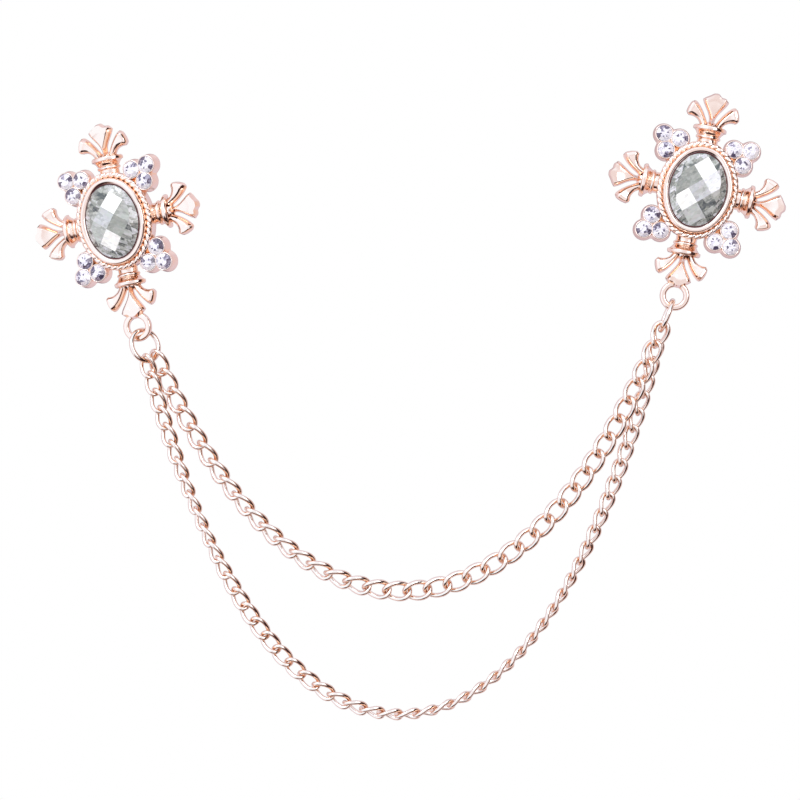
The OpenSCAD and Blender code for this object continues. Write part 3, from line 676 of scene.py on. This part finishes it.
def smallStones(side):
    # twelve round brilliants, turned by chance
    b, h = brilliant, cups["height"]
    parts = []
    for count, first, lean, share, rise in b["facets"].values():
        angles = (np.arange(count) + first) * 2 * np.pi / count
        parts.append(leaningPlanes(angles, lean, share * b["radius"], h + rise))
    parts.append((np.array([[0, 0, 1.0]]), np.array([h + b["table"]])))
    parts.append((np.array([[0, 0, -1.0]]), np.array([cups["sink"] - setting["gap"] - h])))
    normals, depths = (np.concatenate([part[k] for part in parts]) for k in range(2))
    points, faces, owners = cutStone(normals, depths)
    rng = np.random.default_rng(side["cut"]["seed"] + b["seedStep"])
    count = len(normals)
    chance = np.where(np.arange(count) < b["facets"]["rays"][0], b["raysDark"], b["othersDark"])
    cuts = []
    for x, y in smallAt:
        turn = rng.uniform(0, 45)
        p = np.concatenate([turned2(points[:, :2], turn) + (x, y), points[:, 2:]], 1)
        facing = np.degrees(np.arctan2(normals[:, 1], normals[:, 0])) + turn
        spread = rng.uniform(-b["shadedSpread"], b["shadedSpread"])
        away = np.abs((facing - b["shadedTurn"] + spread + 180) % 360 - 180)
        # painted reflections: each facet dark or pale at random, with painted shade on one side and a pale
        # table
        bright = np.where(rng.uniform(0, 1, count) < chance, rng.uniform(*b["darkTones"], count),
                          rng.uniform(*b["paleTones"], count))
        bright = np.where(away < b["shadedHalf"], bright * rng.uniform(*b["shadedShare"], count), bright)
        bright[-2] = b["tableTone"]
        tone = np.stack([bright, np.full(count, b["broken"]), rng.uniform(0, 1, count)], 1)
        cuts.append((p, faces, tone[owners], (x, y), turn, np.full(len(faces), b["patternSize"])))
    return cuts


# Nodes
def plug(source, output, target, entry):
    # links two nodes of one tree
    source.id_data.links.new(source.outputs[output], target.inputs[entry])


def setInputs(node, values):
    for label, value in values.items():
        node.inputs[label].default_value = value


def newGroup(name, inputs, outputs):
    group = bpy.data.node_groups.new(name, "ShaderNodeTree")
    for label, kind, value in inputs:
        socket = group.interface.new_socket(label, in_out="INPUT", socket_type=kind)
        socket.default_value = value
    for label, kind in outputs:
        group.interface.new_socket(label, in_out="OUTPUT", socket_type=kind)
    return group, group.nodes.new("NodeGroupInput"), group.nodes.new("NodeGroupOutput")


def mixColors(nodes, blend="MIX"):
    mix = nodes.new("ShaderNodeMix")
    mix.data_type, mix.blend_type = "RGBA", blend
    return mix


def mathNode(nodes, operation):
    node = nodes.new("ShaderNodeMath")
    node.operation = operation
    return node


def colorRamp(nodes, stops):
    # the new ramp's first and last stops already stand at 0 and 1
    ramp = nodes.new("ShaderNodeValToRGB")
    elements = ramp.color_ramp.elements
    for place, color in stops[1:-1]:
        elements.new(place).color = color
    elements[0].color, elements[len(elements) - 1].color = stops[0][1], stops[-1][1]
    return ramp


def newMaterial(name):
    material = bpy.data.materials.new(name)
    material.use_nodes = True
    nodes = material.node_tree.nodes
    return material, nodes, nodes["Principled BSDF"]


# Shared shader effects
def polishGroup():
    # plated metal: slow clouds of a deeper tint, fine buffing marks in the roughness, and a cast skin.
    # roughness = fine noise x spread + gloss
    group, gin, gout = newGroup("platedPolish", [
        ("Tint", "NodeSocketColor", (0.9, 0.65, 0.55, 1)), ("Deep", "NodeSocketColor", (0.8, 0.5, 0.4, 1)),
        ("Cloud Size", "NodeSocketFloat", 300), ("Gloss", "NodeSocketFloat", 0.12),
        ("Spread", "NodeSocketFloat", 0.1), ("Skin Size", "NodeSocketFloat", 1500)],
        [("Color", "NodeSocketColor"), ("Roughness", "NodeSocketFloat"), ("Height", "NodeSocketFloat")])
    nodes = group.nodes
    coord = nodes.new("ShaderNodeTexCoord")
    cloud, mark, skin = (nodes.new("ShaderNodeTexNoise") for _ in range(3))
    setInputs(mark, {"Scale": 2600, "Detail": 3})
    skin.inputs["Detail"].default_value = 4
    mix, add = mixColors(nodes), mathNode(nodes, "MULTIPLY_ADD")
    for node in (cloud, mark, skin):
        plug(coord, "Object", node, "Vector")
    plug(gin, "Cloud Size", cloud, "Scale")
    plug(gin, "Skin Size", skin, "Scale")
    plug(cloud, "Fac", mix, "Factor")
    plug(gin, "Tint", mix, "A")
    plug(gin, "Deep", mix, "B")
    plug(mark, "Fac", add, 0)
    plug(gin, "Spread", add, 1)
    plug(gin, "Gloss", add, 2)
    plug(mix, "Result", gout, "Color")
    plug(add, "Value", gout, "Roughness")
    plug(skin, "Fac", gout, "Height")
    return group


platedPolish = polishGroup()


def shardGroup():
    # the broken inner reflections of a foil-backed stone: long straight-edged shards with finer ones in them
    group, gin, gout = newGroup("innerShards", [("Place", "NodeSocketVector", (0, 0, 0))],
                                [("Tone", "NodeSocketFloat"), ("Flash", "NodeSocketColor")])
    nodes = group.nodes
    stretch = nodes.new("ShaderNodeVectorMath")
    stretch.operation = "MULTIPLY"
    stretch.inputs[1].default_value = (1.0, 1.9, 1.0)
    plug(gin, "Place", stretch, 0)
    fine = nodes.new("ShaderNodeMix")
    fine.inputs["Factor"].default_value = 0.3
    for kind, scale, loose, entry in (("CHEBYCHEV", 1.0, 0.6, "A"), ("MANHATTAN", 2.6, 0.9, "B")):
        shard, parts = nodes.new("ShaderNodeTexVoronoi"), nodes.new("ShaderNodeSeparateColor")
        shard.distance = kind
        setInputs(shard, {"Scale": scale, "Randomness": loose})
        plug(stretch, "Vector", shard, "Vector")
        plug(shard, "Color", parts, "Color")
        plug(parts, "Red", fine, entry)
    flash = nodes.new("ShaderNodeHueSaturation")
    setInputs(flash, {"Saturation": 0.15, "Value": 1.2})
    plug(shard, "Color", flash, "Color")
    plug(fine, "Result", gout, "Tone")
    plug(flash, "Color", gout, "Flash")
    return group


innerShards = shardGroup()


# Materials
skinDepth = 0.03


def platedMetal(name, look):
    # the metal's colour, roughness and skin come from platedPolish
    material, nodes, shader = newMaterial(name)
    group = nodes.new("ShaderNodeGroup")
    group.node_tree = platedPolish
    setInputs(group, look["group"])
    bump = nodes.new("ShaderNodeBump")
    setInputs(bump, {"Strength": look["bump"], "Distance": skinDepth * mm})
    shader.inputs["Metallic"].default_value = 1.0
    # painted inter-reflection shade: metal seen in metal takes the deeper echo tint in the second reflection
    path = nodes.new("ShaderNodeLightPath")
    echoShade = mixColors(nodes)
    echoShade.inputs["B"].default_value = look["echoShade"]
    plug(path, "Is Glossy Ray", echoShade, "Factor")
    plug(group, "Color", echoShade, "A")
    plug(echoShade, "Result", shader, "Base Color")
    plug(group, "Roughness", shader, "Roughness")
    plug(group, "Height", bump, "Height")
    plug(bump, "Normal", shader, "Normal")
    return material


castRose = platedMetal("cast rose gold", {"bump": 0.2, "echoShade": (0.93, 0.67, 0.52, 1), "group": {
    "Tint": (0.96, 0.85, 0.81, 1), "Deep": (0.93, 0.79, 0.75, 1), "Cloud Size": 260, "Gloss": 0.06,
    "Spread": 0.10, "Skin Size": 900}})
# painted shade: a deeper, more orange copy of the cast metal for the cup webs, which lie sunk between the
# cups
recessShadeRose = platedMetal("rose gold with painted recess shade", {"bump": 0.2, "echoShade": (0.90, 0.50, 0.28, 1), "group": {
    "Tint": (0.95, 0.52, 0.30, 1), "Deep": (0.86, 0.40, 0.20, 1), "Cloud Size": 260, "Gloss": 0.12,
    "Spread": 0.12, "Skin Size": 900}})
wireRose = platedMetal("wire rose gold", {"bump": 0.2, "echoShade": (0.90, 0.60, 0.42, 1), "group": {
    "Tint": (0.94, 0.875, 0.86, 1), "Deep": (0.87, 0.81, 0.79, 1), "Cloud Size": 500, "Gloss": 0.06,
    "Spread": 0.10, "Skin Size": 2400}})
pinSteel = platedMetal("pin steel", {"bump": 0.3, "echoShade": (0.7, 0.67, 0.65, 1), "group": {
    "Tint": (0.80, 0.77, 0.75, 1), "Deep": (0.70, 0.67, 0.65, 1), "Cloud Size": 300, "Gloss": 0.22,
    "Spread": 0.15, "Skin Size": 3000}})


def seamShade():
    # painted shadow in the seam round a stone
    material, _, shader = newMaterial("seam")
    setInputs(shader, {"Base Color": (0.10, 0.022, 0.028, 1), "Metallic": 0.4, "Roughness": 0.45})
    return material


paintedSeamShadow = seamShade()


def crystal(name, look):
    # foil-backed glass: a facet's painted reflection tone and the painted shards behind it run along one ramp
    # of greys, which also glows faintly as painted light
    material, nodes, shader = newMaterial(name)
    tone = nodes.new("ShaderNodeAttribute")
    tone.attribute_name = "facetPaintedTone"
    parts = nodes.new("ShaderNodeSeparateXYZ")
    shards = nodes.new("ShaderNodeGroup")
    shards.node_tree = innerShards
    spot = nodes.new("ShaderNodeAttribute")
    spot.attribute_name = "facetPlace"
    both = nodes.new("ShaderNodeMix")
    ramp, tint = colorRamp(nodes, look["ramp"]), mixColors(nodes, "MULTIPLY")
    tint.inputs["Factor"].default_value = look["flash"]
    plug(tone, "Vector", parts, "Vector")
    plug(spot, "Vector", shards, "Place")
    plug(parts, "Y", both, "Factor")
    plug(parts, "X", both, "A")
    plug(shards, "Tone", both, "B")
    plug(both, "Result", ramp, "Fac")
    plug(ramp, "Color", tint, "A")
    plug(shards, "Flash", tint, "B")
    plug(tint, "Result", shader, "Base Color")
    plug(tint, "Result", shader, "Emission Color")
    # painted light: the facets' colour also glows, though the stone is no lamp
    setInputs(shader, {"Emission Strength": look["paintedGlow"], "Roughness": 0.06, "IOR": 1.55,
                       "Coat Weight": 0.6, "Coat Roughness": 0.02})
    return material


greyCrystal = crystal("grey crystal", {"flash": 0.3, "paintedGlow": 0.12, "ramp": (
    (0, (0.012, 0.014, 0.02, 1)), (0.2, (0.075, 0.09, 0.10, 1)), (0.4, (0.30, 0.31, 0.29, 1)),
    (0.55, (0.49, 0.51, 0.50, 1)), (0.7, (0.60, 0.61, 0.68, 1)), (1, (1, 1, 0.98, 1)))})
clearCrystal = crystal("clear crystal", {"flash": 0.3, "paintedGlow": 0.15, "ramp": (
    (0, (0.02, 0.015, 0.035, 1)), (0.3, (0.12, 0.10, 0.18, 1)), (0.5, (0.42, 0.40, 0.54, 1)),
    (0.68, (0.88, 0.86, 0.96, 1)), (1, (1, 1, 1, 1)))})
print("materials made")


# Making the pieces
def dressed(piece, material, slot, *nodes):
    piece.data.materials.append(material)
    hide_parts(*nodes)
    return piece


def joined(name, side, *grids):
    # one piece of several grids. Each comes with True where its rows also close on themselves
    shell = Shell()
    for grid, wrapRows in grids:
        shell.add(grid, wrapRows)
    return shell.build(name, side)


for side in sides:
    name = side["name"]
    cast = (castRose, "cast_metal", name + "_setting")
    dressed(joined(name + "_bezel", side, (bezelGrid(), True), (floorGrid(), False)), *cast)
    dressed(joined(name + "_rope_border", side, (ropeGrid(), True)), *cast)
    arms = [(turnZ(grid + np.array([0, reach + wallOut, 0]), 90 * quarter), False)
            for quarter, reach in enumerate((halfH, halfW, halfH, halfW)) for grid in armGrids()]
    dressed(joined(name + "_arms", side, *arms), *cast)
    dressed(joined(name + "_cups_and_eye", side, (cupGrids(), False), (padGrids(), False),
                   (eyeGrid(), True)), *cast)
    dressed(joined(name + "_cup_webs", side, (webGrids(), False)), recessShadeRose, *cast[1:])

    # painted shadow: the dark wire in the seam round the stone
    line = joined(name + "_stone_seam_shadow", side, (seamGrid(), True))
    line.data.materials.append(paintedSeamShadow)
    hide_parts(name + "_setting")

    dressed(facetMesh(name + "_oval_crystal", [centreStone(side)], side), greyCrystal, "centre_crystal",
            name + "_centre_stone")
    dressed(facetMesh(name + "_small_crystals", smallStones(side), side), clearCrystal, "rhinestone",
            *[name + "_rhinestone_%d" % i for i in range(1, 13)])

    path = ringPath(side)
    facing = np.broadcast_to(np.cross(pull(side), across(side)), path.shape)
    wire = tube(path, jump["wire"] / 2, facing, jump["wireSides"])
    dressed(joined(name + "_ring", None, (wire, True)), wireRose, "ring_metal", name + "_jump_ring")

    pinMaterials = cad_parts[name + "_pin"].data.materials
    pinMaterials.clear()
    pinMaterials.append(pinSteel)
    print(name, "brooch made")

for chain in (upperChain, lowerChain):
    links = joined(chain["name"] + "_links", None, (linkGrids(chain), True))
    dressed(links, wireRose, "chain_metal", chain["name"])
    print(chain["name"], "made")


# Studio
# lit: white around the pale middle. shaded: a dark band, then warm brown
studio = {
    "floor": -160, "floorReach": 2500, "distance": 600, "aim": (56.6, -4.5, -36.0), "frameWidth": 160.0,
    "lamps": (("key light", (-260, -520, 420), (300, 300), 1.2),
              ("fill light", (420, -480, 160), (240, 360), 0.7)), "lampsAim": (58, 0, -30),
    "shadedSide": (0.76, 0, -0.65), "blend": 0.12,
    "lit": ((0, (0.92, 0.82, 0.80, 1)), (0.06, (0.95, 0.88, 0.87, 1)), (0.14, (1.08, 1.15, 1.2, 1)),
            (0.36, (1.1, 1.17, 1.22, 1)), (0.46, (1.0, 0.9, 0.92, 1)), (0.6, (0.85, 0.66, 0.66, 1)),
            (0.75, (0.92, 0.78, 0.78, 1)), (0.88, (0.6, 0.46, 0.48, 1)), (1, (0.3, 0.22, 0.27, 1))),
    "shaded": ((0, (0.92, 0.82, 0.80, 1)), (0.08, (0.95, 0.88, 0.86, 1)), (0.17, (1.05, 1.02, 1.02, 1)),
               (0.22, (0.9, 0.72, 0.66, 1)), (0.26, (0.07, 0.03, 0.03, 1)), (0.43, (0.02, 0.008, 0.008, 1)),
               (0.48, (0.75, 0.42, 0.28, 1)), (0.56, (0.9, 0.62, 0.5, 1)), (0.70, (0.82, 0.68, 0.72, 1)),
               (0.84, (0.75, 0.6, 0.62, 1)), (0.92, (0.3, 0.2, 0.24, 1)), (1, (0.2, 0.13, 0.17, 1)))}


def emission(name, color, strength):
    material, nodes, _ = newMaterial(name)
    nodes.clear()
    light, out = nodes.new("ShaderNodeEmission"), nodes.new("ShaderNodeOutputMaterial")
    setInputs(light, {"Color": color, "Strength": strength})
    plug(light, "Emission", out, "Surface")
    return material


def card(name, points, material):
    mesh = bpy.data.meshes.new(name)
    mesh.from_pydata((np.array(points) * mm).tolist(), [], [(0, 1, 2, 3)])
    mesh.materials.append(material)
    obj = bpy.data.objects.new(name, mesh)
    scene.collection.objects.link(obj)
    return obj


floorSigns = ((-1, -1), (1, -1), (1, 1), (-1, 1))
paleFloor = card("pale_floor", [(x * studio["floorReach"], y * studio["floorReach"], studio["floor"])
                                for x, y in floorSigns], emission("pale floor", (1, 1, 1, 1), 1.0))
paleFloor.visible_glossy = paleFloor.visible_diffuse = False


def areaLight(name, place, size, power):
    # a rectangular lamp at place that faces the middle of the chain
    data = bpy.data.lights.new(name, "AREA")
    data.shape = "RECTANGLE"
    data.size, data.size_y = size[0] * mm, size[1] * mm
    data.energy = power
    light = bpy.data.objects.new(name, data)
    light.location = np.array(place) * mm
    direction = Vector(studio["lampsAim"]) * mm - light.location
    light.rotation_euler = direction.to_track_quat("-Z", "Y").to_euler()
    scene.collection.objects.link(light)


for lamp in studio["lamps"]:
    areaLight(*lamp)


def studioWorld():
    # what the metal sees, by the angle from straight ahead as a share of half a turn: pale pink ahead, then
    # the lit colours to the left and above, or the shaded ones to the right and below
    world = bpy.data.worlds.new("studio")
    world.use_nodes = True
    scene.world = world
    nodes = world.node_tree.nodes
    nodes.clear()
    out = nodes.new("ShaderNodeOutputWorld")
    coord = nodes.new("ShaderNodeTexCoord")

    def along(direction):
        dot = nodes.new("ShaderNodeVectorMath")
        dot.operation = "DOT_PRODUCT"
        dot.inputs[1].default_value = direction
        plug(coord, "Generated", dot, 0)
        return dot

    angle, share = mathNode(nodes, "ARCCOSINE"), mathNode(nodes, "DIVIDE")
    share.inputs[1].default_value = np.pi
    plug(along((0, -1, 0)), "Value", angle, 0)
    plug(angle, "Value", share, 0)
    both = mixColors(nodes)
    for stops, label in ((studio["lit"], "A"), (studio["shaded"], "B")):
        ramp = colorRamp(nodes, stops)
        plug(share, "Value", ramp, "Fac")
        plug(ramp, "Color", both, label)
    half = nodes.new("ShaderNodeMapRange")
    half.interpolation_type = "SMOOTHSTEP"
    setInputs(half, {"From Min": -studio["blend"], "From Max": studio["blend"]})
    plug(along(studio["shadedSide"]), "Value", half, "Value")
    plug(half, "Result", both, "Factor")
    sky, plain = nodes.new("ShaderNodeBackground"), nodes.new("ShaderNodeBackground")
    mix = nodes.new("ShaderNodeMixShader")
    path = nodes.new("ShaderNodeLightPath")
    plug(both, "Result", sky, "Color")
    plug(path, "Is Camera Ray", mix, "Fac")
    plug(sky, "Background", mix, 1)
    plug(plain, "Background", mix, 2)
    plain.inputs["Color"].default_value = (1, 1, 1, 1)
    plug(mix, "Shader", out, "Surface")


studioWorld()
camera = bpy.data.cameras.new("camera")
camera.sensor_width = 36
camera.lens = camera.sensor_width * studio["distance"] / studio["frameWidth"]
camera.clip_start, camera.clip_end = 0.01, 20
cameraObject = bpy.data.objects.new("camera", camera)
cameraObject.location = (Vector(studio["aim"]) - Vector((0, studio["distance"], 0))) * mm
cameraObject.rotation_euler = (np.pi / 2, 0, 0)
scene.collection.objects.link(cameraObject)
scene.camera = cameraObject
scene.view_settings.view_transform = "Standard"
print("studio made")
